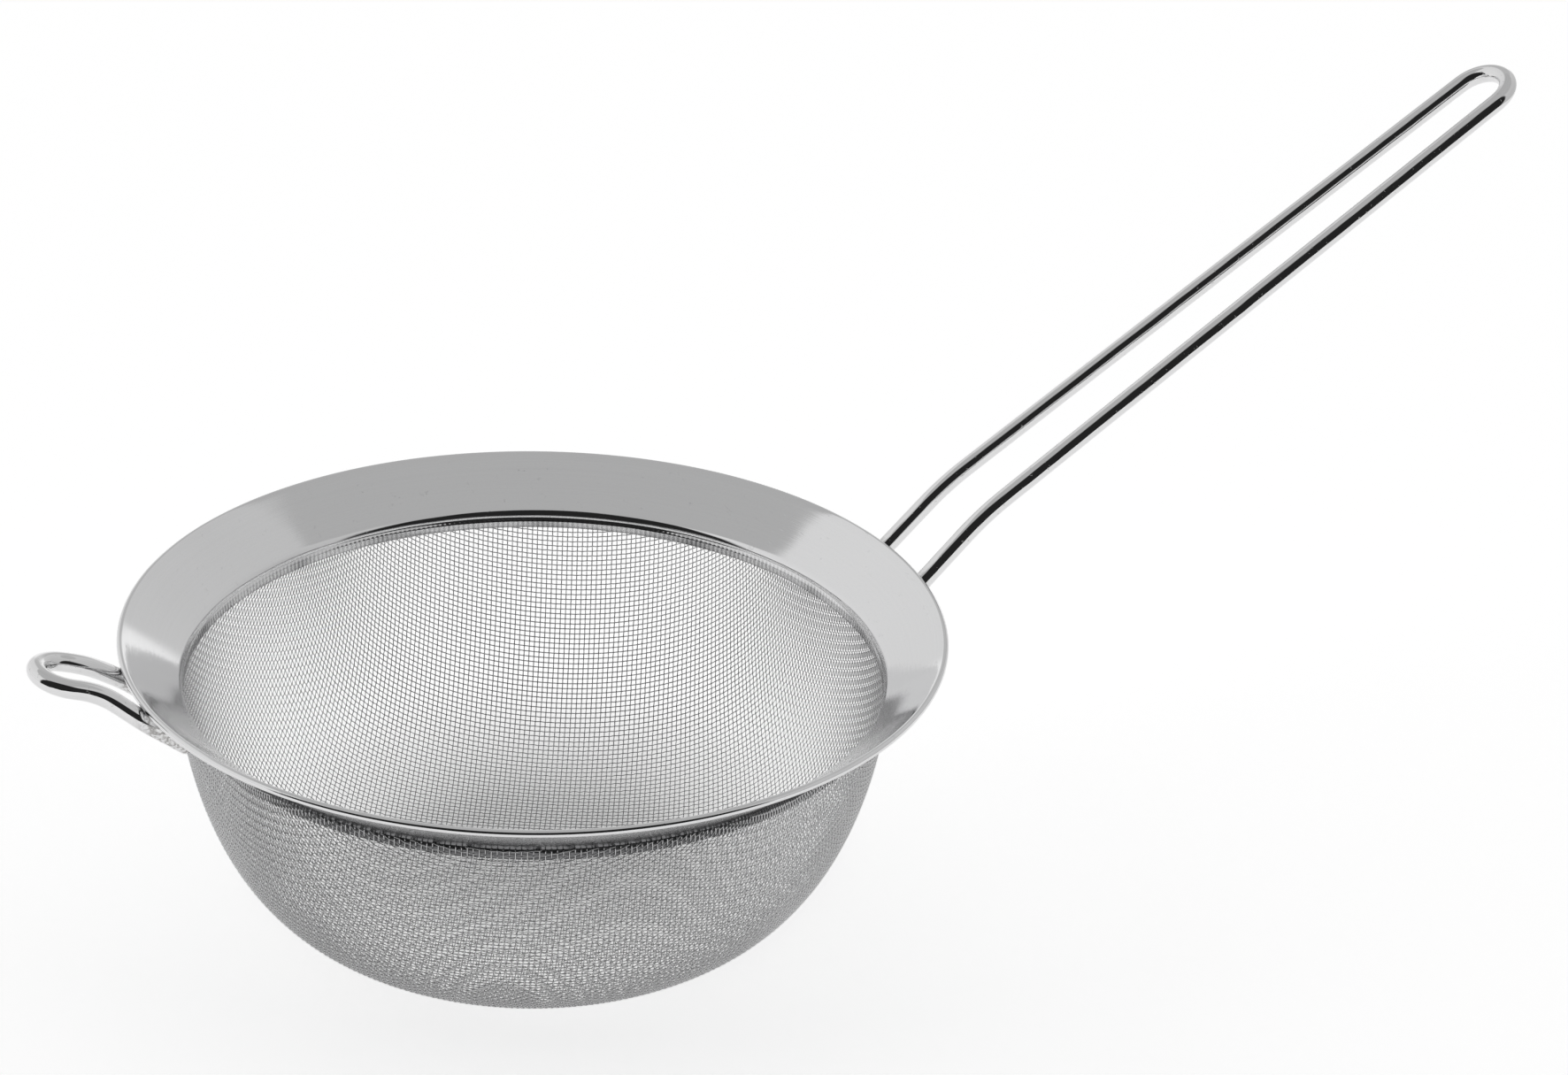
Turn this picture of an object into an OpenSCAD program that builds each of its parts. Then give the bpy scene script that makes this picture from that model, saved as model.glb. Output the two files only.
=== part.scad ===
// Tea strainer: a flared sheet-steel rim, a pressed wire-cloth bowl, a hairpin
// handle of bent wire and a small wire loop that rests on the far side of a cup.
// The rim's axis is Z and the centre of its rolled edge lies in the plane Z = 0.
// The handle points along +X.

/* [Rim] */
// Outer diameter over the rolled edge
rim_d = 100; // [80:1:125]
// Diameter at the throat, where the flare turns down into the neck
throat_d = 86.2; // [68:0.2:88]
// Height of the flare, from the rolled edge down to the throat
flare_h = 5.15; // [3:0.05:8]
// Thickness of the rim's sheet steel
rim_t = 0.4; // [0.3:0.05:0.6]
// Diameter of the rolled edge
hem_d = 0.86; // [0.8:0.02:1.4]
// Radius of the polished corner between flare and neck
corner_r = 1.3; // [1:0.1:2]
// Height of the neck below that corner
neck_h = 1.5; // [1:0.1:4]
// Inward lean of the neck from the vertical, in degrees
neck_lean = 4; // [0:1:8]

/* [Mesh bowl] */
// Depth of the bowl from the top of the mesh
bowl_h = 33; // [24:0.5:45]
// Thickness of the woven cloth, two wires deep
mesh_t = 0.3; // [0.2:0.05:0.5]
// Gap between the neck and the cloth that is welded round it
mesh_gap = 0.03; // [0.02:0.01:0.1]
// Fullness of the bowl's side, 2 is an ellipse
side_power = 4.9; // [2:0.1:6]
// Fullness of the bowl's bottom, 2 is an ellipse
base_power = 1.65; // [1.5:0.05:2.5]

/* [Handle] */
// Diameter of the handle's and the rest loop's wire
wire_d = 2.3; // [1.8:0.1:3]
// Centre distance of the two legs where they cross the rim
leg_pitch = 10.4; // [8:0.2:16]
// Centre distance of the two legs at the round end
end_pitch = 7.8; // [6:0.2:12]
// Reach of the handle's end beyond the rim
handle_reach = 87.4; // [60:0.2:120]
// Length of each leg that lies under the flare
leg_seat = 5; // [3:0.5:6]
// Reach beyond the rim of the steep first stretch
steep_reach = 9.5; // [6:0.5:14]
// Slope of the steep first stretch, in degrees
steep_slope = 43; // [38:1:50]
// Slope of the long straight stretch, in degrees
long_slope = 32; // [20:0.2:38]

/* [Rest loop] */
// Direction of the rest loop, counted from the handle, in degrees
loop_turn = 176.5; // [165:0.5:195]
// Centre distance of the loop's legs where they cross the rim
loop_pitch = 11; // [8:0.2:14]
// Centre distance of the loop's legs at its round end
loop_end_pitch = 7.2; // [6.6:0.2:10]
// Reach of the loop's bend beyond the rim
loop_bend = 4.7; // [3:0.1:5]
// Reach of the loop's end beyond the rim
loop_reach = 12.2; // [10.6:0.2:18]
// Slope of the loop's end, in degrees
loop_slope = 17; // [5:1:30]

/* [Hidden] */

// Rim: the flare's centre line runs from the rolled edge's centre to the throat.
hem_r = rim_d / 2 - hem_d / 2;
throat_r = throat_d / 2;
flare_slope = atan(flare_h / (hem_r - throat_r));
corner_x = throat_r + (corner_r - rim_t / 2) * sin(flare_slope);
corner_z = -flare_h - (corner_r - rim_t / 2) * cos(flare_slope);
under_r = corner_r - rim_t;
corner_steps = 10;

// Bowl: its outer profile starts level with the corner's centre.
bowl_r = corner_x - under_r + mesh_gap + mesh_t;
bowl_z = corner_z;
bowl_steps = 28;

// Wire
wire_r = wire_d / 2;
wire_sides = 16;
seat_gap = 0.04;
seat_drop = (hem_d + wire_d) / 2 + seat_gap;
bend_steps = 6;
seat_ease = 1;
elbow_ease = 3.5;
end_steps = 14;
weld_count = 2;
weld_d = 1.2;
weld_pitch = 1.9;
weld_inset = 1.14;
weld_skin = 0.08;

// A point at angle a on a circle of radius r about [x, z].
function on_circle(x, z, r, a) = [x + r * cos(a), z + r * sin(a)];

// The two faces of the sheet round the corner, from the flare to the neck.
function corner_arc(r, first, last) =
    [for (i = [0:corner_steps]) on_circle(corner_x, corner_z, r, first + (last - first) * i / corner_steps)];

// One point of the bowl's profile at parameter a, shrunk by inset.
function bowl_point(a, inset) =
    [(bowl_r - inset) * pow(cos(a), 2 / side_power),
     bowl_z - (bowl_h - inset) * pow(sin(a), 2 / base_power)];

// Where a leg that is half from the middle plane crosses under the rolled edge.
function cross_x(half) = sqrt(hem_r * hem_r - half * half);

// A leg's height while it lies parallel to the flare, touching the rolled edge.
function seat_z(x, half) = (x - cross_x(half)) * tan(flare_slope) - seat_drop / cos(flare_slope);

// A rounded corner at b, cut back by c along both arms.
function bend(a, b, c, cut) =
    let (p = b + (a - b) / norm(a - b) * cut, q = b + (c - b) / norm(c - b) * cut)
    [for (i = [0:bend_steps]) let (t = i / bend_steps) (1 - t) * (1 - t) * p + 2 * t * (1 - t) * b + t * t * q];

// The round end of a hairpin: a half circle that bulges along a slope.
function round_end(x, z, half, slope) =
    [for (i = [1:end_steps - 1]) let (a = 90 - 180 * i / end_steps)
        [x + half * cos(a) * cos(slope), half * sin(a), z + half * cos(a) * sin(slope)]];

function mirrored(path) = [for (i = [len(path) - 1:-1:0]) [path[i][0], -path[i][1], path[i][2]]];
function unit(v) = v / norm(v);
function heading(path, i) = unit(path[min(i + 1, len(path) - 1)] - path[max(i - 1, 0)]);

// Side vectors carried along the path, so that the sweep doesn't twist.
function carried(path, side, i = 0, done = []) =
    i == len(path) ? done
    : let (t = heading(path, i), s = unit(side - (side * t) * t))
      carried(path, s, i + 1, concat(done, [s]));

// A round wire swept along a list of points.
module wire(path) {
    sides = carried(path, unit(cross(heading(path, 0), [0, 1, 0.1])));
    last = len(path) - 1;
    skin = [for (i = [0:last]) let (t = heading(path, i), s = sides[i], u = cross(t, s))
        for (k = [0:wire_sides - 1]) let (a = 360 * k / wire_sides)
            path[i] + wire_r * (cos(a) * s + sin(a) * u)];
    walls = [for (i = [0:last - 1]) for (k = [0:wire_sides - 1])
        let (n = (k + 1) % wire_sides)
            [i * wire_sides + k, (i + 1) * wire_sides + k, (i + 1) * wire_sides + n, i * wire_sides + n]];
    first_cap = [for (k = [0:wire_sides - 1]) k];
    last_cap = [for (k = [wire_sides - 1:-1:0]) last * wire_sides + k];
    polyhedron(skin, concat([first_cap], walls, [last_cap]));
}

// Handle: seat under the flare, steep stretch, long straight stretch, round end.
handle_half = leg_pitch / 2;
handle_end = end_pitch / 2;
rim_cross = cross_x(handle_half);
steep_x = rim_cross + steep_reach;
// The seat runs on past the rolled edge, so that the steeper stretch clears it.
seat_lead = 2 * seat_drop * tan((steep_slope - flare_slope) / 2);
seat_end = rim_cross + seat_drop * sin(flare_slope) + seat_lead * cos(flare_slope);
steep_z = seat_z(seat_end, handle_half) + (steep_x - seat_end) * tan(steep_slope);
long_x = rim_cross + handle_reach - wire_r - handle_end * cos(long_slope);
long_z = steep_z + (long_x - steep_x) * tan(long_slope);
function handle_spread(x) =
    handle_half + (handle_end - handle_half) * max(0, x - rim_cross) / (long_x - rim_cross);
function handle_point(x, z) = [x, handle_spread(x), z];
handle_start = handle_point(rim_cross - leg_seat, seat_z(rim_cross - leg_seat, handle_half));
handle_cross = handle_point(seat_end, seat_z(seat_end, handle_half));
handle_elbow = handle_point(steep_x, steep_z);
handle_tip = handle_point(long_x, long_z);
handle_leg = concat([handle_start], bend(handle_start, handle_cross, handle_elbow, seat_ease),
                    bend(handle_cross, handle_elbow, handle_tip, elbow_ease), [handle_tip]);
handle_path = concat(handle_leg, round_end(long_x, long_z, handle_end, long_slope), mirrored(handle_leg));

// Rest loop: seat under the flare, then a bend down to a flatter round end.
loop_half = loop_pitch / 2;
loop_end = loop_end_pitch / 2;
loop_cross = cross_x(loop_half);
loop_bend_x = loop_cross + loop_bend;
loop_tip_x = loop_cross + loop_reach - wire_r - loop_end * cos(loop_slope);
loop_tip_z = seat_z(loop_bend_x, loop_half) + (loop_tip_x - loop_bend_x) * tan(loop_slope);
loop_start = [loop_cross - leg_seat, loop_half, seat_z(loop_cross - leg_seat, loop_half)];
loop_rim = [loop_cross, loop_half, seat_z(loop_cross, loop_half)];
loop_elbow = [loop_bend_x, loop_end, seat_z(loop_bend_x, loop_half)];
loop_ease = 0.85 * (loop_tip_x - loop_bend_x);
loop_tip = [loop_tip_x, loop_end, loop_tip_z];
loop_leg = concat([loop_start], bend(loop_start, loop_rim, loop_elbow, seat_ease),
                  bend(loop_rim, loop_elbow, loop_tip, loop_ease), [loop_tip]);
loop_path = concat(loop_leg, round_end(loop_tip_x, loop_tip_z, loop_end, loop_slope), mirrored(loop_leg));

// Clear height between a seated leg's crest and the flare's underside.
function weld_gap(x, half) =
    ((norm([x, half]) - hem_r) * tan(flare_slope) - seat_z(x, half)) * cos(flare_slope) - rim_t / 2 - wire_r;

// The welds between the flare's underside and a leg at y = half.
module leg_welds(half) {
    for (i = [0:weld_count - 1]) {
        x = cross_x(half) - weld_inset - weld_pitch * i;
        translate([x, half, seat_z(x, half)]) rotate([0, -flare_slope, 0])
            translate([0, 0, wire_r]) cylinder(d = weld_d, h = weld_gap(x, half) - weld_skin, $fn = 24);
    }
}

// Spun and pressed from one sheet: rolled edge, flare, rounded corner, short neck.
module rim_flange() {
    across = [-sin(flare_slope), cos(flare_slope)] * rim_t / 2;
    hem = [hem_r, 0];
    down = [-sin(neck_lean), -cos(neck_lean)] * neck_h;
    top_face = corner_arc(corner_r, 90 + flare_slope, 180 - neck_lean);
    under_face = corner_arc(under_r, 180 - neck_lean, 90 + flare_slope);
    color("silver") rotate_extrude($fn = 96) union() {
        translate(hem) circle(d = hem_d, $fn = 32);
        polygon(concat([hem - across, hem + across], top_face,
                       [top_face[corner_steps] + down, under_face[0] + down], under_face));
    }
}

// Woven wire cloth pressed to a deep round bowl; a plain shell two wires thick.
module mesh_bowl() {
    outer = [for (i = [0:bowl_steps]) bowl_point(90 * i / bowl_steps, 0)];
    inner = [for (i = [bowl_steps:-1:0]) bowl_point(90 * i / bowl_steps, mesh_t)];
    color("gainsboro") rotate_extrude($fn = 96) polygon(concat(outer, inner));
}

// One wire bent to a hairpin.
module handle_wire() {
    color("lightgray") wire(handle_path);
}

// Resistance welds that hold the handle's legs under the flare.
module handle_welds() {
    color("darkgray") for (side = [1, -1]) leg_welds(side * handle_half);
}

// One short wire bent to a loop that rests on the cup.
module rest_loop() {
    color("lightgray") rotate(loop_turn) wire(loop_path);
}

// Resistance welds that hold the loop's legs under the flare.
module loop_welds() {
    color("darkgray") rotate(loop_turn) for (side = [1, -1]) leg_welds(side * loop_half);
}

rim_flange();
mesh_bowl();
handle_wire();
handle_welds();
rest_loop();
loop_welds();
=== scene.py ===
"""A tea strainer of polished steel and woven wire, on a white table.

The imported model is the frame, and every piece sits where the frame puts it. The
sections follow the strainer as it is put together: the pressed rim, the wire cloth,
the hairpin handle, the rest loop and the welds, and then the table, light and camera.
"""
import math

import bpy
import numpy as np
from mathutils import Matrix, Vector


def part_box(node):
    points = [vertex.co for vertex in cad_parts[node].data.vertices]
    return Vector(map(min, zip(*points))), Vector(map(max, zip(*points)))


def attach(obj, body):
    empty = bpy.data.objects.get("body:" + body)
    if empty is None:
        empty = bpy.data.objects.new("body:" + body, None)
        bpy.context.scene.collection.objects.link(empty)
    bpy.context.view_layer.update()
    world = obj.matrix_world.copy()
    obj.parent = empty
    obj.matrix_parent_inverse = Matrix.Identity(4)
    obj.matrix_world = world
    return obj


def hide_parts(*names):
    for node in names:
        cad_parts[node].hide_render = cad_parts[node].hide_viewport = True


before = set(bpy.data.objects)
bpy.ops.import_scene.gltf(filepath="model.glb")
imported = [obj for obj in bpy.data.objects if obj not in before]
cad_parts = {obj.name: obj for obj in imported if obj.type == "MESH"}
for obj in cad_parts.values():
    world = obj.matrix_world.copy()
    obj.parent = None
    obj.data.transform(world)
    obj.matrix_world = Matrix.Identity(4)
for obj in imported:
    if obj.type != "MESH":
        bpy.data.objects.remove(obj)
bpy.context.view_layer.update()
MM = 0.001


# ---- Rim flange ---------------------------------------------------------------
# One sheet of stainless steel, spun and pressed: a rolled edge, a wide polished flare,
# a tight rounded corner and a short neck. The cloth is seam-welded round the neck, and
# the weld's rollers leave fine upright marks on its inner face. The neck is painted dark
# in patches as a painted reflection, and its outside is painted nearly black as painted shade.

def corners(box):
    """A frame box as two arrays in millimetres, lowest corner first."""
    return [np.array(corner) / MM for corner in box]


def grid_quads(rows, columns, close_rows, close_columns):
    """Quads between neighbours on a grid of rows x columns vertices, closed where asked.
    Also gives each quad corner's own row and column, which run on past a closed seam."""
    row, column = np.meshgrid(np.arange(rows - 1 + close_rows), np.arange(columns - 1 + close_columns),
                              indexing="ij")
    row, column = row.reshape(-1, 1), column.reshape(-1, 1)
    place = np.stack([row + [0, 0, 1, 1], column + [0, 1, 1, 0]], -1)
    quads = place[..., 0] % rows * columns + place[..., 1] % columns
    return quads, place


def add_piece(name, points, quads, uv, uv_name="surface"):
    """Puts points in millimetres and quads into a smooth mesh at the origin, riding on the
    strainer. All the quads turn round if the volume that they enclose comes out negative."""
    a, b, c, d = (points[quads[:, k]] for k in range(4))
    volume = (np.cross(a, b) * c).sum() + (np.cross(a, c) * d).sum()
    if volume < 0:
        quads, uv = quads[:, ::-1], uv[:, ::-1]
    mesh = bpy.data.meshes.new(name)
    mesh.vertices.add(len(points))
    mesh.vertices.foreach_set("co", (points * MM).astype(np.float32).ravel())
    mesh.loops.add(quads.size)
    mesh.loops.foreach_set("vertex_index", quads.astype(np.int32).ravel())
    mesh.polygons.add(len(quads))
    mesh.polygons.foreach_set("loop_start", np.arange(0, quads.size, 4, dtype=np.int32))
    mesh.polygons.foreach_set("use_smooth", np.ones(len(quads), bool))
    layer = mesh.uv_layers.new(name=uv_name)
    layer.uv.foreach_set("vector", uv.astype(np.float32).ravel())
    mesh.update(calc_edges=True)
    piece = bpy.data.objects.new(name, mesh)
    bpy.context.scene.collection.objects.link(piece)
    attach(piece, "root")
    return piece


class Value:
    """A number or vector socket, so that shader maths reads as a plain sum."""

    def __init__(self, shade, socket):
        self.shade = shade
        self.socket = socket

    def math(self, operation, *others):
        """A Math node with this value first and the others after it."""
        sockets = dict(enumerate((self,) + others))
        return self.shade.node("ShaderNodeMath", {"operation": operation}, sockets)

    def __add__(self, other):
        return self.math("ADD", other)

    def __sub__(self, other):
        return self.math("SUBTRACT", other)

    def __mul__(self, other):
        return self.math("MULTIPLY", other)

    def __rsub__(self, other):
        return self.shade.node("ShaderNodeMath", {"operation": "SUBTRACT"}, {0: other, 1: self})

    __radd__ = __add__
    __rmul__ = __mul__

    def step(self, low, high):
        """0 below low, 1 above high, and an even S-shaped rise between."""
        settings = {"interpolation_type": "SMOOTHSTEP"}
        return self.shade.node("ShaderNodeMapRange", settings, {0: self, 1: low, 2: high}, "Result")


class Shade:
    """The node tree of a material or of the world."""

    def __init__(self, owner):
        self.owner = owner
        owner.use_nodes = True
        self.tree = owner.node_tree
        self.tree.nodes.clear()

    def node(self, kind, settings=(), sockets=(), result=0):
        """Adds one node: its settings come first, then its sockets' values or links."""
        made = self.tree.nodes.new(kind)
        for name, value in dict(settings).items():
            setattr(made, name, value)
        for name, value in dict(sockets).items():
            if isinstance(value, Value):
                self.tree.links.new(value.socket, made.inputs[name])
            else:
                made.inputs[name].default_value = value
        return Value(self, made.outputs[result]) if made.outputs else made

    def place(self):
        """The piece's own coordinates in millimetres, as three numbers."""
        coordinates = self.node("ShaderNodeTexCoord", result="Object")
        scaled = self.node("ShaderNodeVectorMath", {"operation": "SCALE"}, {0: coordinates, "Scale": 1 / MM})
        split = self.node("ShaderNodeSeparateXYZ", (), {0: scaled})
        outputs = split.socket.node.outputs
        return scaled, [Value(self, outputs[axis]) for axis in "XYZ"]

    def vector(self, x, y, z):
        """Three numbers joined to a vector."""
        return self.node("ShaderNodeCombineXYZ", (), {0: x, 1: y, 2: z})

    def noise(self, vector, scale, detail=2.0, roughness=0.5):
        """Smooth noise from 0 to 1, with scale bumps to the millimetre."""
        sockets = {"Vector": vector, "Scale": scale, "Detail": detail, "Roughness": roughness}
        return self.node("ShaderNodeTexNoise", (), sockets, "Fac")

    def tint(self, mask, low, high):
        """The colour low where mask is 0, high where it is 1."""
        low, high = (colour if isinstance(colour, Value) else (*colour, 1) for colour in (low, high))
        sockets = {0: mask, 6: low, 7: high}
        return self.node("ShaderNodeMix", {"data_type": "RGBA"}, sockets, 2)

    def bump(self, height, distance):
        """Raises the surface by height times distance, given in millimetres."""
        return self.node("ShaderNodeBump", (), {"Height": height, "Distance": distance * MM}, "Normal")

    def steel(self, colour, roughness, normal):
        """Bare metal with the given colour, roughness and surface."""
        sockets = {"Base Color": colour, "Metallic": 1.0, "Roughness": roughness, "Normal": normal}
        shader = self.node("ShaderNodeBsdfPrincipled", (), sockets)
        self.node("ShaderNodeOutputMaterial", (), {"Surface": shader})
        return self.owner


def polished_sheet():
    """Polished stainless sheet: faint rings from the spinning, a little unevenness from
    the press, stray rub marks, and the seam weld's upright marks round the neck. The
    neck is painted dark in patches, a painted reflection. The sheet's underside is duller,
    and painted nearly black outside the neck where the cloth is welded on, as painted shade."""
    shade = Shade(bpy.data.materials.new("polished_sheet"))
    spot, (x, y, z) = shade.place()
    radius = (x * x + y * y).math("SQRT")
    angle = y.math("ARCTAN2", x)
    rings = shade.noise(shade.vector(radius * 9, z * 9, angle.math("SINE") * 0.6), 1.0, 3.0, 0.6)
    dents = shade.noise(spot, 0.045, 1.0)
    rubs = shade.noise(shade.vector(x * 0.9, y * 0.25, z), 1.0, 4.0, 0.7).step(0.62, 0.74)
    grain = shade.noise(spot, 6.0, 2.0)
    specks = shade.noise(spot, 0.8, 4.0, 0.65).step(0.68, 0.74)
    neck = 1 - z.step(neck_top - 0.6, neck_top + 0.1)
    above_flare = z - (radius - bead_centre_r) * math.tan(flare_slope)
    inside_neck = neck_middle_r - (neck_top - z) * math.tan(neck_lean) - radius
    under = 1 - above_flare.math("MAXIMUM", inside_neck).step(-0.12, 0.04)
    under = under * (1 - radius.step(bead_centre_r - 1.2, bead_centre_r - 0.8))
    # Painted shade: the neck's outside and the corner's underside, between the sheet and the cloth, are
    # painted nearly black.
    painted_shade_outside_neck = under * (1 - z.step(neck_top + 0.2, neck_top + 0.9))
    weld_marks = (angle * weld_mark_count).math("SINE") * shade.noise(spot, 1.3, 2.0)
    uneven = shade.noise(shade.vector(x * 0.07, y * 0.07, z * 0.28), 1.0, 1.0)
    height = dents * 1.4 + rings * 0.004 + rubs * 0.003 + neck * (weld_marks * 0.02 + uneven * 0.6)
    tone = rings * 0.3 + grain * 0.25 + rubs * 0.35 + specks * 0.5
    colour = shade.tint(tone, (0.83, 0.83, 0.835), (0.68, 0.68, 0.685))
    # Painted reflection: the whole neck is painted a little dark, and much darker in wide patches, standing
    # in for the dark room it mirrors; the seam weld's marks darken it further.
    patches = shade.noise(shade.vector(x * 0.05, y * 0.05, 0.0), 1.0, 2.0).step(0.42, 0.56)
    painted_reflection_and_weld_marks = (neck * (0.1 + patches * 0.65 + weld_marks * 0.55)).math("MAXIMUM", painted_shade_outside_neck * 0.9)
    colour = shade.tint(painted_reflection_and_weld_marks, colour, (0.16, 0.16, 0.165))
    roughness = 0.05 + rubs * 0.12 + rings * 0.04 + specks * 0.15 + neck * 0.05 + under * 0.2
    return shade.steel(colour, roughness, shade.bump(height, 1.0))


rim_low, rim_high = corners(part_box("rim_flange"))
sheet_t = 0.4
bead_r = rim_high[2]
bead_centre_r = rim_high[0] - bead_r
throat_r = 43.1
flare_h = 5.15
corner_r = 1.3
neck_lean = math.radians(4)
weld_mark_count = 404
flare_slope = math.atan2(flare_h, bead_centre_r - throat_r)
corner_at = np.array([throat_r + (corner_r - sheet_t / 2) * math.sin(flare_slope),
                      -flare_h - (corner_r - sheet_t / 2) * math.cos(flare_slope)])
neck_top = corner_at[1]
neck_middle_r = corner_at[0] - corner_r + sheet_t / 2


def arc(centre, radius, first, last, steps):
    """Points on a circle about centre from angle first to angle last, in radians."""
    angle = np.linspace(first, last, steps)
    return np.stack([centre[0] + radius * np.cos(angle), centre[1] + radius * np.sin(angle)], 1)


def between(first, last, steps):
    """Evenly spaced points strictly between two points."""
    share = np.linspace(0, 1, steps + 2)[1:-1, None]
    return first + (last - first) * share


def rim_profile():
    """The sheet's closed outline: round the bead, which the flare's bright face meets
    smoothly, down the flare, round the corner, down the neck, round its cut edge and back
    up outside and under the flare to the groove behind the bead."""
    meet = math.acos(math.sqrt(bead_r ** 2 - (sheet_t / 2) ** 2) / bead_r)
    inward = math.pi + flare_slope
    bead = arc([bead_centre_r, 0], bead_r, inward + meet - 2 * math.pi, math.pi / 2 + flare_slope, 30)
    top = arc(corner_at, corner_r, math.pi / 2 + flare_slope, math.pi - neck_lean, 16)
    under = arc(corner_at, corner_r - sheet_t, math.pi - neck_lean, math.pi / 2 + flare_slope, 12)
    neck_length = (top[-1][1] - rim_low[2]) / math.cos(neck_lean)
    down = -np.array([math.sin(neck_lean), math.cos(neck_lean)]) * (neck_length - sheet_t / 2)
    edge_centre = (top[-1] + under[0]) / 2 + down
    edge = arc(edge_centre, sheet_t / 2, math.pi - neck_lean, 2 * math.pi - neck_lean, 8)
    return np.concatenate([bead, between(bead[-1], top[0], 12), top, between(top[-1], edge[0], 3), edge,
                           between(edge[-1], under[0], 3), under, between(under[-1], bead[0], 10)])


def spun(profile, steps):
    """The profile's points (radius, height) carried round the Z axis in even steps."""
    turn = np.linspace(0, 2 * math.pi, steps, endpoint=False)[:, None]
    radius, height = profile[:, 0], profile[:, 1]
    points = np.stack([radius * np.cos(turn), radius * np.sin(turn), height + 0 * turn], -1)
    return points.reshape(-1, 3)


profile = rim_profile()
rim_steps = 720
rim_points = spun(profile, rim_steps)
rim_quads, rim_place = grid_quads(rim_steps, len(profile), True, True)
rim = add_piece("rim", rim_points, rim_quads, rim_place / [rim_steps, len(profile)])
rim.data.materials.append(polished_sheet())
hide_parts("rim_flange")


# ---- Wire cloth ---------------------------------------------------------------
# Plain-woven stainless wire cloth, pressed into a deep bowl and welded round the neck.
# Two families of wires cross over and under each other. Wires keep their pitch where
# they are pressed, so the square weave shears into lozenges between the four sides.

bowl_low, bowl_high = corners(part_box("mesh_bowl"))
cloth_t = 0.3
side_power = 4.9
base_power = 1.65
cloth_pitch = 0.67
cloth_wire_d = 0.15
crimp = 0.075
cloth_turn = math.radians(-27.37)
bowl_r = bowl_high[0] - cloth_t / 2
bowl_top = bowl_high[2]
bowl_h = bowl_top - bowl_low[2] - cloth_t / 2
wires_each_way = 108


def bowl_level(point):
    """How far a point is from the cloth's middle surface, and the slope of that number.
    The surface is (radius / bowl_r)^side_power + (drop / bowl_h)^base_power = 1."""
    radius = np.maximum(np.hypot(point[..., 0], point[..., 1]), 1e-9)
    drop = np.maximum(bowl_top - point[..., 2], 1e-9)
    level = (radius / bowl_r) ** side_power + (drop / bowl_h) ** base_power - 1
    outward = side_power / bowl_r * (radius / bowl_r) ** (side_power - 1)
    downward = base_power / bowl_h * (drop / bowl_h) ** (base_power - 1)
    downward = np.where(point[..., 2] > bowl_top, 0, downward)
    slope = np.stack([outward * point[..., 0] / radius, outward * point[..., 1] / radius, -downward], -1)
    return level, slope


def middle_wire(count):
    """Points one pitch apart along the bowl's profile, from its lowest point up the side."""
    turn = np.linspace(math.pi / 2, 0, 20001)
    radius = bowl_r * np.cos(turn) ** (2 / side_power)
    height = bowl_top - bowl_h * np.sin(turn) ** (2 / base_power)
    radius = np.append(radius, bowl_r)
    radius[0] = 0
    height = np.append(height, bowl_top + 60)
    length = np.append(0, np.cumsum(np.hypot(np.diff(radius), np.diff(height))))
    along = np.arange(count) * cloth_pitch
    return np.interp(along, length, radius), np.interp(along, length, height)


def pressed_quarter(count):
    """Crossings of a quarter of the cloth. Each new crossing lies on the bowl, one pitch
    from its two neighbours; a whole diagonal of them is solved at a time by Newton's rule."""
    radius, height = middle_wire(count)
    crossing = np.zeros((count, count, 3))
    crossing[:, 0] = np.stack([radius, 0 * radius, height], 1)
    crossing[0, :] = np.stack([0 * radius, radius, height], 1)
    for diagonal in range(2, 2 * count - 1):
        i = np.arange(max(1, diagonal - count + 1), min(count, diagonal))
        j = diagonal - i
        first, second = crossing[i - 1, j], crossing[i, j - 1]
        point = first + second - crossing[i - 1, j - 1]
        for _ in range(7):
            level, slope = bowl_level(point)
            to_first, to_second = point - first, point - second
            miss = np.stack([level * 20, (to_first ** 2).sum(-1) - cloth_pitch ** 2,
                             (to_second ** 2).sum(-1) - cloth_pitch ** 2], -1)
            rates = np.stack([slope * 20, 2 * to_first, 2 * to_second], -2) + 1e-12 * np.eye(3)
            move = np.linalg.solve(rates, miss[..., None])[..., 0]
            reach = np.linalg.norm(move, axis=-1, keepdims=True)
            point = point - move * np.minimum(1, 0.3 * cloth_pitch / np.maximum(reach, 1e-12))
        crossing[i, j] = point
    return crossing


def whole_cloth(quarter):
    """Mirrors the quarter about both middle wires, and turns the cloth to its place."""
    half = np.concatenate([(quarter * [-1, 1, 1])[:0:-1], quarter])
    whole = np.concatenate([(half * [1, -1, 1])[:, :0:-1], half], 1)
    c, s = math.cos(cloth_turn), math.sin(cloth_turn)
    return whole @ np.array([[c, s, 0], [-s, c, 0], [0, 0, 1]])


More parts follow.
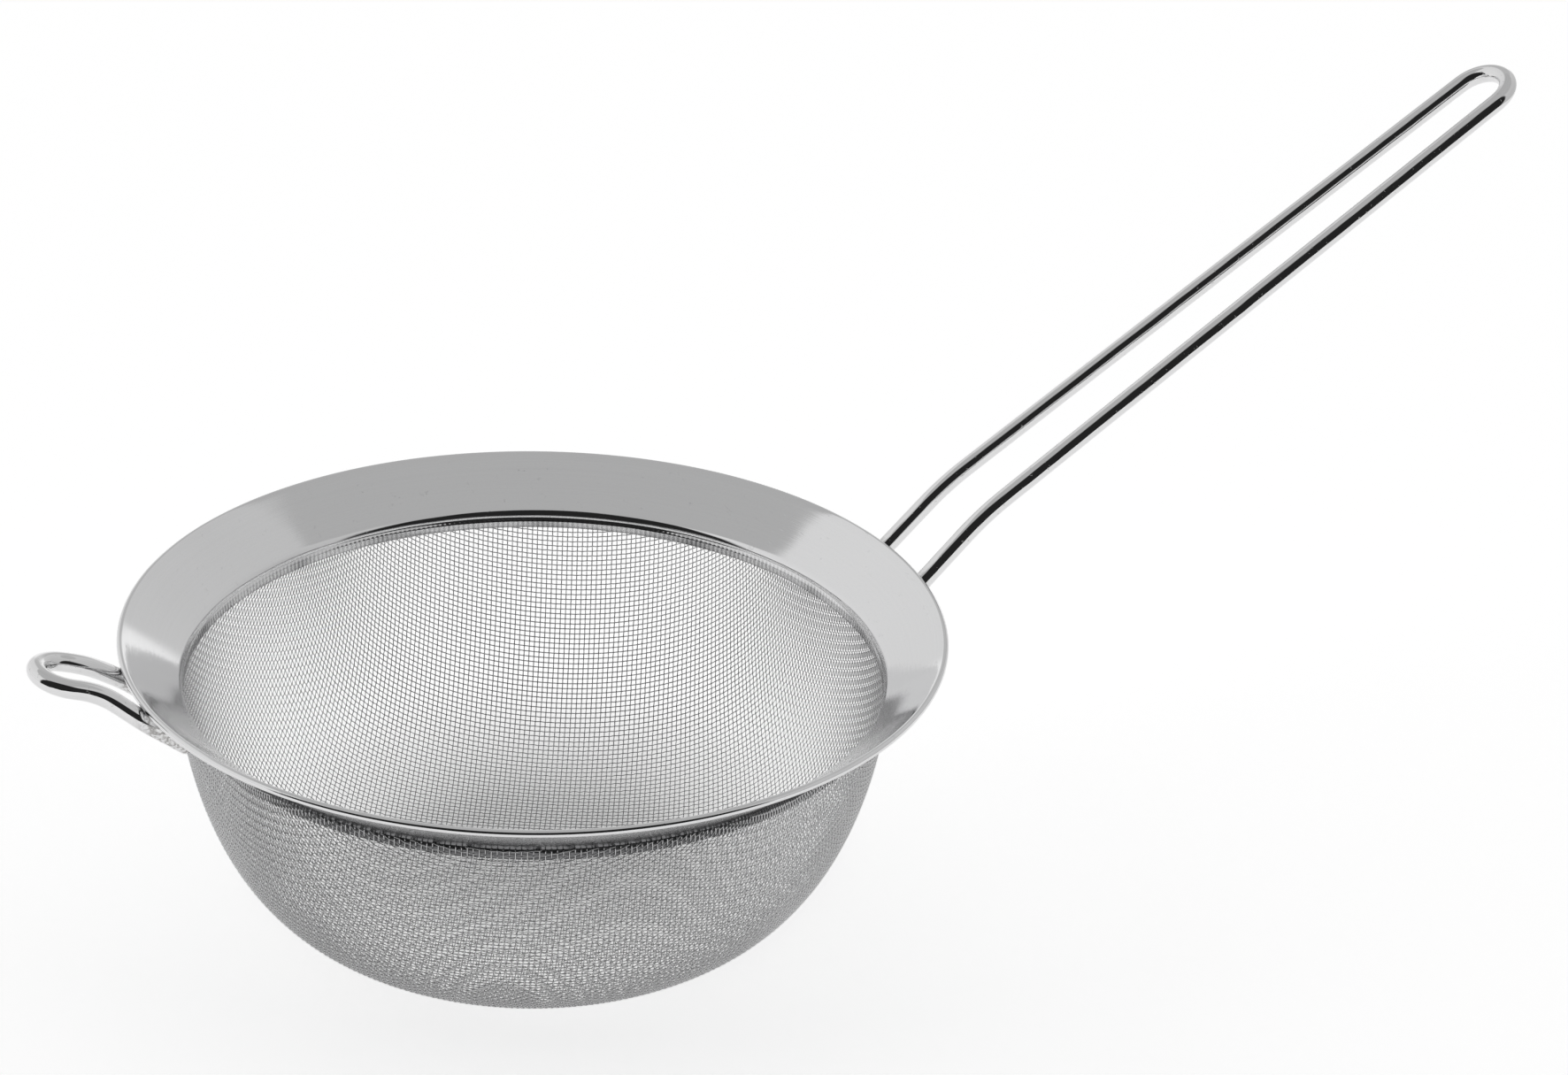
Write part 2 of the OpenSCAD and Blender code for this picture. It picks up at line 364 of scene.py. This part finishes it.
def woven_wires(crossing, over):
    """Rings of four corners along each wire of one family, and which rings lie in the bowl.
    A wire has a ring at each crossing, raised or lowered by the crimp in turn, and one
    midway. A wire that leaves the bowl is cut level with the cloth's upper edge."""
    normal = bowl_level(crossing)[1]
    normal = normal / np.linalg.norm(normal, axis=-1, keepdims=True)
    index = np.indices(crossing.shape[:2]).sum(0)
    side = np.where(index % 2 == 0, over, -over)[..., None]
    wires, count = crossing.shape[:2]
    rings = np.zeros((wires, 2 * count - 1, 3))
    facing = np.zeros_like(rings)
    rings[:, ::2] = crossing + normal * side * crimp
    rings[:, 1::2] = (crossing[:, 1:] + crossing[:, :-1]) / 2
    facing[:, ::2] = normal
    facing[:, 1::2] = normal[:, 1:] + normal[:, :-1]
    inside = rings[..., 2] < bowl_top
    for ahead in (1, -1):
        beyond = ~inside & np.roll(inside, ahead, axis=1)
        last = np.roll(rings, ahead, axis=1)
        share = (bowl_top - last[..., 2]) / np.where(beyond, rings[..., 2] - last[..., 2], 1)
        cut = last + (rings - last) * share[..., None]
        rings = np.where(beyond[..., None], cut, rings)
    heading = np.gradient(rings, axis=1)
    across = np.cross(heading, facing)
    across = across / np.maximum(np.linalg.norm(across, axis=-1, keepdims=True), 1e-9)
    facing = np.cross(across, heading)
    facing = facing / np.maximum(np.linalg.norm(facing, axis=-1, keepdims=True), 1e-9)
    spoke = np.stack([facing, across, -facing, -across], 2) * cloth_wire_d / 2
    return rings[:, :, None] + spoke, inside


def wire_quads(inside):
    """Quads along each wire where at least one of two neighbouring rings is in the bowl,
    and a quad across each cut end."""
    wires, count = inside.shape
    kept = inside[:, 1:] | inside[:, :-1]
    wire, ring = np.nonzero(kept)
    side = np.arange(4)
    start = ((wire * count + ring) * 4)[:, None]
    following = (side + 1) % 4
    along = np.stack([start + side, start + side + 4, start + following + 4, start + following], -1)
    place = np.stack([wire[:, None, None] * 4 + side[:, None] + [0, 0, 1, 1],
                      ring[:, None, None] + 0 * side[:, None] + [0, 1, 1, 0]], -1)
    padded = np.pad(kept, ((0, 0), (1, 1)))
    first = np.nonzero(padded[:, 1:] & ~padded[:, :-1])
    last = np.nonzero(~padded[:, 1:] & padded[:, :-1])
    first_cap = ((first[0] * count + first[1]) * 4)[:, None] + [0, 1, 2, 3]
    last_cap = ((last[0] * count + last[1]) * 4)[:, None] + [3, 2, 1, 0]
    caps = np.concatenate([first_cap, last_cap])
    cap_place = np.stack([np.concatenate([first[0], last[0]])[:, None] * 4 + [0, 1, 1, 0],
                          np.concatenate([first[1], last[1]])[:, None] + [0, 0, 0.2, 0.2]], -1)
    quads = np.concatenate([along.reshape(-1, 4), caps])
    return quads, np.concatenate([place.reshape(-1, 4, 2), cap_place]) / [wires * 4, count]


def drawn_cloth():
    """Fine stainless wire: bright, with slight changes of tone from wire to wire."""
    shade = Shade(bpy.data.materials.new("cloth_wire"))
    spot, (x, y, z) = shade.place()
    patches = shade.noise(spot, 0.12, 2.0)
    fine = shade.noise(spot, 2.2, 2.0)
    colour = shade.tint(patches * 0.6 + fine * 0.4, (0.70, 0.70, 0.705), (0.50, 0.50, 0.505))
    return shade.steel(colour, 0.1 + fine * 0.1, shade.bump(fine, 0.01))


cloth = whole_cloth(pressed_quarter(wires_each_way))
cloth_material = drawn_cloth()
cloth_parts = 3
for family, over in (("warp", 1), ("weft", -1)):
    crossing = cloth if family == "warp" else cloth.transpose(1, 0, 2)
    rings, inside = woven_wires(crossing, over)
    busy = np.nonzero(inside.any(1))[0]
    shares = np.cumsum(inside[busy].sum(1)) / inside.sum()
    for part in range(cloth_parts):
        chosen = busy[(shares > part / cloth_parts) & (shares <= (part + 1) / cloth_parts)]
        quads, uv = wire_quads(inside[chosen])
        used, quads = np.unique(quads, return_inverse=True)
        points = rings[chosen].reshape(-1, 3)[used]
        piece = add_piece(f"cloth_{family}_{part + 1}", points, quads.reshape(-1, 4), uv, "OFBake")
        piece.data.materials.append(cloth_material)
        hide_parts("mesh_bowl")


# ---- Handle -------------------------------------------------------------------
# One drawn stainless wire bent to a hairpin. Its two cut ends lie under the flare, where
# they are welded; it rises steeply past the rolled edge and then runs straight out.

wire_d = 2.3
wire_r = wire_d / 2
seat_drop = bead_r + wire_r + 0.04
leg_seat = 5.0
seat_ease = 1.0
wire_sides = 28
ring_step = 0.4
end_bevel = 0.86


def cross_x(half):
    """Where a leg that is half from the middle plane passes under the rolled edge."""
    return math.sqrt(bead_centre_r ** 2 - half ** 2)


def seat_z(x, half):
    """A leg's height while it lies parallel to the flare, clear of the rolled edge."""
    return (x - cross_x(half)) * math.tan(flare_slope) - seat_drop / math.cos(flare_slope)


def bend(before, corner, after, cut, steps):
    """A corner eased from cut before it to cut after it, along a quadratic curve."""
    first = corner + (before - corner) / np.linalg.norm(before - corner) * cut
    last = corner + (after - corner) / np.linalg.norm(after - corner) * cut
    share = np.linspace(0, 1, steps)[:, None]
    return (1 - share) ** 2 * first + 2 * share * (1 - share) * corner + share ** 2 * last


def hairpin(leg, half, slope, steps):
    """A leg, a half circle of radius half that bulges up a slope, and the leg mirrored."""
    angle = np.linspace(math.pi / 2, -math.pi / 2, steps)[1:-1]
    bulge = half * np.cos(angle)
    x, _, z = leg[-1]
    end = np.stack([x + bulge * math.cos(slope), half * np.sin(angle), z + bulge * math.sin(slope)], 1)
    return np.concatenate([leg, end, (leg * [1, -1, 1])[::-1]])


def even_path(path, step):
    """The same path with points about one step apart, rounded by a few passes of averaging."""
    length = np.append(0, np.cumsum(np.linalg.norm(np.diff(path, axis=0), axis=1)))
    along = np.linspace(0, length[-1], int(length[-1] / step) + 1)
    even = np.stack([np.interp(along, length, path[:, axis]) for axis in range(3)], 1)
    for _ in range(4):
        even[1:-1] = (even[:-2] + 2 * even[1:-1] + even[2:]) / 4
    return even


def swept_wire(name, path, material, node):
    """A round wire along a path: at each point a ring of wire_sides vertices lies across
    the path's heading, turned so that it never twists, with a bevelled and closed end."""
    heading = np.gradient(path, axis=0)
    heading = heading / np.linalg.norm(heading, axis=1, keepdims=True)
    up = np.zeros_like(path)
    side = np.cross(heading[0], [0.1, 1.0, 0.2])
    for k, along in enumerate(heading):
        side = side - along * (side @ along)
        side = side / np.linalg.norm(side)
        up[k] = side
    other = np.cross(heading, up)
    size = np.full(len(path), wire_r)
    size[[0, -1]] = wire_r * end_bevel
    angle = np.linspace(0, 2 * math.pi, wire_sides, endpoint=False)[:, None]
    ring = up[:, None] * np.cos(angle) + other[:, None] * np.sin(angle)
    points = path[:, None] + ring * size[:, None, None]
    quads, place = grid_quads(len(path), wire_sides, False, True)
    half = np.arange(wire_sides // 2 - 1)
    cap = np.stack([half, half + 1, wire_sides - 2 - half, wire_sides - 1 - half], 1)
    far_cap = cap[:, ::-1] + (len(path) - 1) * wire_sides
    cap_spread = np.zeros((len(cap), 4, 2))
    spread = np.concatenate([place * [ring_step, wire_d / wire_sides * math.pi], cap_spread, cap_spread])
    points = points.reshape(-1, 3)
    quads = np.concatenate([quads, cap[:, ::-1], far_cap[:, ::-1]])
    piece = add_piece(name, points, quads, spread)
    piece.data.materials.append(material)
    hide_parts(node)
    return piece


def drawn_wire():
    """Bright drawn wire: fine lines along its length, gentle waves and a few pits, and a
    darker, rougher skin near the welds under the rim."""
    shade = Shade(bpy.data.materials.new("drawn_wire"))
    spot, (x, y, z) = shade.place()
    radius = (x * x + y * y).math("SQRT")
    uv = shade.node("ShaderNodeUVMap", {"uv_map": "surface"})
    drawn_out = shade.node("ShaderNodeMapping", (), {0: uv, "Scale": (0.12, 9.0, 1.0)})
    lines = shade.noise(drawn_out, 1.0, 3.0, 0.6)
    pits = shade.noise(spot, 1.7, 3.0, 0.65).step(0.66, 0.72)
    waves = shade.noise(spot, 0.16, 1.0)
    heat = 1 - radius.step(49.0, 51.5)
    stain = shade.noise(spot, 2.4, 3.0, 0.7).step(0.42, 0.6) * heat
    colour = shade.tint(lines * 0.3 + pits * 0.3 + stain * 0.7, (0.88, 0.88, 0.885), (0.34, 0.33, 0.32))
    roughness = 0.02 + lines * 0.03 + pits * 0.15 + stain * 0.25
    height = lines * 0.003 + waves * 0.15 - pits * 0.01
    return shade.steel(colour, roughness, shade.bump(height, 1.0))


handle_high = corners(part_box("handle_wire"))[1]
elbow_ease = 3.5
handle_half = 5.2
handle_end = 3.9
steep_reach = 9.5
steep_slope = math.radians(43)
long_slope = math.radians(32)
rim_cross = cross_x(handle_half)
steep_x = rim_cross + steep_reach
seat_lead = 2 * seat_drop * math.tan((steep_slope - flare_slope) / 2)
seat_end = rim_cross + seat_drop * math.sin(flare_slope) + seat_lead * math.cos(flare_slope)
steep_z = seat_z(seat_end, handle_half) + (steep_x - seat_end) * math.tan(steep_slope)
long_x = handle_high[0] - wire_r - handle_end * math.cos(long_slope)
long_z = steep_z + (long_x - steep_x) * math.tan(long_slope)


def handle_point(x, z):
    """A point of the leg, which closes in evenly from the rim to the round end."""
    share = max(0, x - rim_cross) / (long_x - rim_cross)
    return np.array([x, handle_half + (handle_end - handle_half) * share, z])


seat_start = handle_point(rim_cross - leg_seat, seat_z(rim_cross - leg_seat, handle_half))
seat_bend = handle_point(seat_end, seat_z(seat_end, handle_half))
elbow = handle_point(steep_x, steep_z)
tip = handle_point(long_x, long_z)
leg = np.concatenate([[seat_start], bend(seat_start, seat_bend, elbow, seat_ease, 9),
                      bend(seat_bend, elbow, tip, elbow_ease, 15), [tip]])
wire_material = drawn_wire()
handle_path = even_path(hairpin(leg, handle_end, long_slope, 40), ring_step)
swept_wire("handle", handle_path, wire_material, "handle_wire")


# ---- Rest loop ----------------------------------------------------------------
# A short piece of the same wire, bent to a loop that lies on the far edge of a cup. It
# leaves the rim along the flare and then bends down to a flatter round end.

loop_turn = math.radians(176.5)
loop_ring_step = 0.3
loop_half = 5.5
loop_end = 3.6
loop_bend = 4.7
loop_reach = 12.2
loop_slope = math.radians(17)
loop_cross = cross_x(loop_half)
loop_bend_x = loop_cross + loop_bend
loop_tip_x = loop_cross + loop_reach - wire_r - loop_end * math.cos(loop_slope)
loop_elbow_z = seat_z(loop_bend_x, loop_half)
loop_tip_z = loop_elbow_z + (loop_tip_x - loop_bend_x) * math.tan(loop_slope)
loop_start = np.array([loop_cross - leg_seat, loop_half, seat_z(loop_cross - leg_seat, loop_half)])
loop_rim = np.array([loop_cross, loop_half, seat_z(loop_cross, loop_half)])
loop_elbow = np.array([loop_bend_x, loop_end, loop_elbow_z])
loop_tip = np.array([loop_tip_x, loop_end, loop_tip_z])
loop_ease = 0.85 * (loop_tip_x - loop_bend_x)
leg = np.concatenate([[loop_start], bend(loop_start, loop_rim, loop_elbow, seat_ease, 9),
                      bend(loop_rim, loop_elbow, loop_tip, loop_ease, 15), [loop_tip]])
c, s = math.cos(loop_turn), math.sin(loop_turn)
loop_path = even_path(hairpin(leg, loop_end, loop_slope, 40), loop_ring_step)
loop_path = loop_path @ np.array([[c, s, 0], [-s, c, 0], [0, 0, 1]])
swept_wire("rest_hook", loop_path, wire_material, "rest_loop")


# ---- Welds --------------------------------------------------------------------
# Resistance welds between the flare's underside and the wires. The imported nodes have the
# right shape, so they stay, with the blued and pitted skin of welded steel.

def weld_metal():
    """Welded steel: pitted, uneven, and straw to grey-blue from the heat."""
    shade = Shade(bpy.data.materials.new("weld_metal"))
    spot, _ = shade.place()
    pits = shade.noise(spot, 3.0, 3.0, 0.6)
    heat = shade.noise(spot, 0.9, 1.0)
    colour = shade.tint(heat, (0.42, 0.38, 0.33), (0.34, 0.35, 0.39))
    return shade.steel(colour, 0.3 + pits * 0.25, shade.bump(pits, 0.08))


weld_material = weld_metal()
for node in ("handle_welds", "loop_welds"):
    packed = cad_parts[node]
    packed.data.materials.clear()
    packed.data.materials.append(weld_material)


# ---- Table, light and camera --------------------------------------------------
# A white table in a white room: a pale grey ceiling, bright walls to the sides and behind,
# and the dark end of the room behind the camera, which the bright wires mirror.

view_turn = math.radians(27.37)
glow_level = 0.6
patch_behind = 18.0
patch_inner_r = 8.0
patch_outer_r = 44.0
patch_depth = 0.3
ceiling_level = 0.5
side_level = 0.72
dark_level = 0.02


def white_table():
    """White where it is seen or mirrored, with the strainer's own cast shadow. A round soft
    patch just behind the bowl's axis is painted darker, to deepen the shadow there."""
    shade = Shade(bpy.data.materials.new("white_table"))
    _, (x, y, z) = shade.place()
    off_x = x - patch_behind * math.sin(view_turn)
    off_y = y - patch_behind * math.cos(view_turn)
    patch = 1 - (off_x * off_x + off_y * off_y).math("SQRT").step(patch_inner_r, patch_outer_r)
    path = shade.node("ShaderNodeLightPath")
    outputs = path.socket.node.outputs
    rays = ("Camera", "Glossy", "Transmission")
    seen, mirrored, passed = (Value(shade, outputs[f"Is {ray} Ray"]) for ray in rays)
    seen = seen.math("MAXIMUM", mirrored).math("MAXIMUM", passed)
    matt = shade.node("ShaderNodeBsdfDiffuse", (), {"Color": (0.88, 0.88, 0.88, 1)})
    glow = shade.node("ShaderNodeEmission", (), {"Color": glow_level - mirrored * 0.1 - patch * patch_depth})
    lit = shade.node("ShaderNodeAddShader", (), {0: matt, 1: glow})
    mixed = shade.node("ShaderNodeMixShader", (), {0: seen, 1: matt, 2: lit})
    shade.node("ShaderNodeOutputMaterial", (), {"Surface": mixed})
    return shade.owner


table_half = 450.0
table_z = bowl_low[2]
table_mesh = bpy.data.meshes.new("table")
table_corners = np.array([[-1, -1], [1, -1], [1, 1], [-1, 1]]) * table_half
table_mesh.from_pydata([(x * MM, y * MM, table_z * MM) for x, y in table_corners], [], [(0, 1, 2, 3)])
table = bpy.data.objects.new("table", table_mesh)
bpy.context.scene.collection.objects.link(table)
table_mesh.materials.append(white_table())

view_rise = math.radians(25.75)
view_roll = math.radians(-2.54)
view_distance = 420.0
view_aside = -30.0
view_above = -10.48
sensor_width = 36.0
lens = 79.6


def room():
    """The room as a colour for each direction: ceiling, side walls, back wall, dark end."""
    world = bpy.data.worlds.new("room")
    bpy.context.scene.world = world
    shade = Shade(world)
    direction = shade.node("ShaderNodeTexCoord", result="Generated")
    split = shade.node("ShaderNodeSeparateXYZ", (), {0: direction})
    x, y, z = (Value(shade, split.socket.node.outputs[axis]) for axis in "XYZ")
    back = x * math.sin(view_turn) + y * math.cos(view_turn)
    aside = x * math.cos(view_turn) - y * math.sin(view_turn)
    ceiling = z.step(0.73, 0.755)
    dark = (back * -1).step(0.36, 0.46)
    wall = 1.0 - z.step(0.05, 0.4) * 0.45
    side = aside.math("ABSOLUTE").step(0.3, 0.4)
    walls = wall + side * (side_level - aside * 0.14 - wall)
    light = walls + ceiling * (ceiling_level - walls)
    light = light + dark * (dark_level - light)
    seen = Value(shade, shade.node("ShaderNodeLightPath").socket.node.outputs["Is Camera Ray"])
    background = shade.node("ShaderNodeBackground", (), {"Color": light + seen * (1 - light)})
    shade.node("ShaderNodeOutputWorld", (), {"Surface": background})


room()

camera = bpy.data.objects.new("camera", bpy.data.cameras.new("camera"))
bpy.context.scene.collection.objects.link(camera)
camera.data.sensor_width = sensor_width
camera.data.lens = lens
camera.data.clip_start = 0.01
level = np.array([math.cos(view_turn), -math.sin(view_turn), 0])
away = np.array([math.sin(view_turn), math.cos(view_turn), 0])
upright = away * math.sin(view_rise) + np.array([0, 0, math.cos(view_rise)])
forward = away * math.cos(view_rise) - np.array([0, 0, math.sin(view_rise)])
right = level * math.cos(view_roll) - upright * math.sin(view_roll)
up = level * math.sin(view_roll) + upright * math.cos(view_roll)
camera_at = (-view_aside * right - view_above * up - view_distance * forward) * MM
turn = np.eye(4)
turn[:3, :3] = np.stack([right, up, -forward], 1)
turn[:3, 3] = camera_at
camera.matrix_world = Matrix(turn.tolist())
bpy.context.scene.camera = camera
bpy.context.scene.view_settings.view_transform = "Standard"
